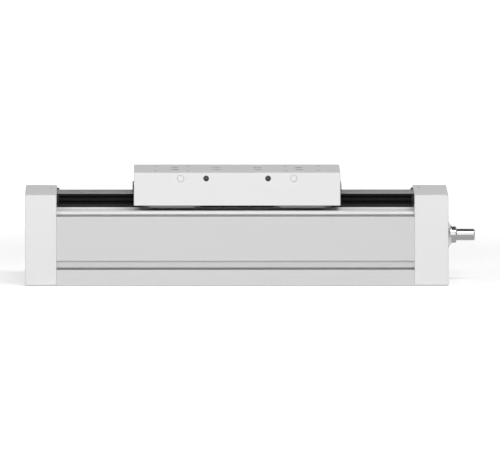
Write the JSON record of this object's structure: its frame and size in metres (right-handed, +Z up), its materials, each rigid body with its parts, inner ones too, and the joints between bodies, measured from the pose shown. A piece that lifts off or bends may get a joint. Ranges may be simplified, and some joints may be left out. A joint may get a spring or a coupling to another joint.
{
  "type": "ball screw linear axis",
  "caption": "Extruded linear axis with end caps, guide rails, a fixed cover strip and a table that a ball screw drives along the rails from a plain shaft at one end.",
  "frame": {"origin": "middle of the body's mounting face, at the middle of the extrusion's length and width", "axes": "+X along the travel towards the drive shaft, +Y to the rear, +Z up through the table"},
  "size_m": [0.4509, 0.16, 0.113],
  "materials": {
    "profile_aluminium": "extruded, clear anodised, satin",
    "cap_aluminium": "milled, clear anodised, satin",
    "table_aluminium": "milled, clear anodised, satin",
    "rail_steel": "ground, with a black protective coating",
    "strip_steel": "cold rolled strip",
    "screw_steel": "ground and polished",
    "bearing_steel": "ground",
    "fastener_steel": "zinc plated",
    "buffer_rubber": "moulded, matt",
    "runner_plastic": "moulded, matt",
    "seal_rubber": "moulded, matt",
    "wiper_plastic": "moulded, matt"
  },
  "bodies": {
    "base": {"profile_body": "profile_aluminium", "front_guide_rail": "rail_steel", "rear_guide_rail": "rail_steel", "front_rail_cover": "strip_steel", "rear_rail_cover": "strip_steel", "cover_strip": "strip_steel", "idle_end_cap": "cap_aluminium", "drive_end_cap": "cap_aluminium", "end_buffers": "buffer_rubber", "drive_bearing_outer_rings": "bearing_steel", "idle_bearing_outer_ring": "bearing_steel", "bearing_retainer": "bearing_steel", "rail_screws": "fastener_steel", "idle_cap_screws": "fastener_steel", "drive_cap_screws": "fastener_steel"},
    "screw": {"ball_screw": "screw_steel", "drive_bearing_inner_rings": "bearing_steel", "idle_bearing_inner_ring": "bearing_steel", "snap_ring": "fastener_steel", "lock_nut": "screw_steel"},
    "carriage": {"carriage_table": "table_aluminium", "front_idle_runner": "bearing_steel", "front_drive_runner": "bearing_steel", "rear_idle_runner": "bearing_steel", "rear_drive_runner": "bearing_steel", "runner_end_caps": "runner_plastic", "runner_seals": "seal_rubber", "ball_nut": "screw_steel", "nut_bracket": "table_aluminium", "idle_table_wiper": "wiper_plastic", "drive_table_wiper": "wiper_plastic", "port_plugs": "table_aluminium", "runner_screws": "fastener_steel", "bracket_screws": "fastener_steel", "nut_screws": "fastener_steel", "wiper_screws": "fastener_steel"}
  },
  "joints": [
    {"name": "carriage_slide", "type": "slide", "parent": "base", "child": "carriage", "axis": [1, 0, 0], "range_m": [-0.0746, 0.0712]},
    {"name": "screw_spin", "type": "hinge", "parent": "base", "child": "screw", "pos_m": [0, 0, 0.0466], "axis": [1, 0, 0], "range_deg": [-1300, 1360]}
  ],
  "couplings": [
    {"joint": "screw_spin", "follows": "carriage_slide", "rad_per_m": -314.16}
  ]
}
